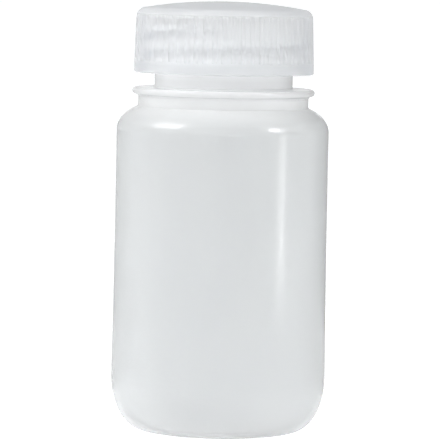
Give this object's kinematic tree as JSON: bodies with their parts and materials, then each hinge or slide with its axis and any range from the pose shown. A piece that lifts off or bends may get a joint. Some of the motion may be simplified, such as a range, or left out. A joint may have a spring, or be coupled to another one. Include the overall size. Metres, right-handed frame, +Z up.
{
  "type": "wide-mouth bottle",
  "caption": "Round translucent plastic laboratory bottle with a wide mouth, a stepped collar and a ribbed screw closure.",
  "frame": {"origin": "centre of the ring that the bottle stands on", "axes": "+Z up along the bottle's axis, -Y towards the viewer of the picture, +X to the right"},
  "size_m": [0.0514, 0.0512, 0.1024],
  "materials": {
    "bottle_plastic": "natural milky translucent polypropylene, as blown, smooth with a soft gloss",
    "closure_plastic": "natural white translucent polypropylene, as moulded, smooth with a soft gloss",
    "liner_foam": "white foamed polyethylene sheet, matt"
  },
  "bodies": {
    "bottle": {"bottle": "bottle_plastic"},
    "liner": {"closure_liner": "liner_foam"},
    "closure": {"closure": "closure_plastic"}
  },
  "joints": [
    {"name": "liner_lift", "type": "slide", "parent": "bottle", "child": "liner", "axis": [0, 0, 1], "range_m": [0, 0.0212]},
    {"name": "closure_turn", "type": "hinge", "parent": "liner", "child": "closure", "pos_m": [0, 0, 0.09], "axis": [0, 0, 1], "range_deg": [0, 1800]}
  ],
  "couplings": [
    {"joint": "liner_lift", "follows": "closure_turn", "m_per_rad": 0.0006737}
  ]
}
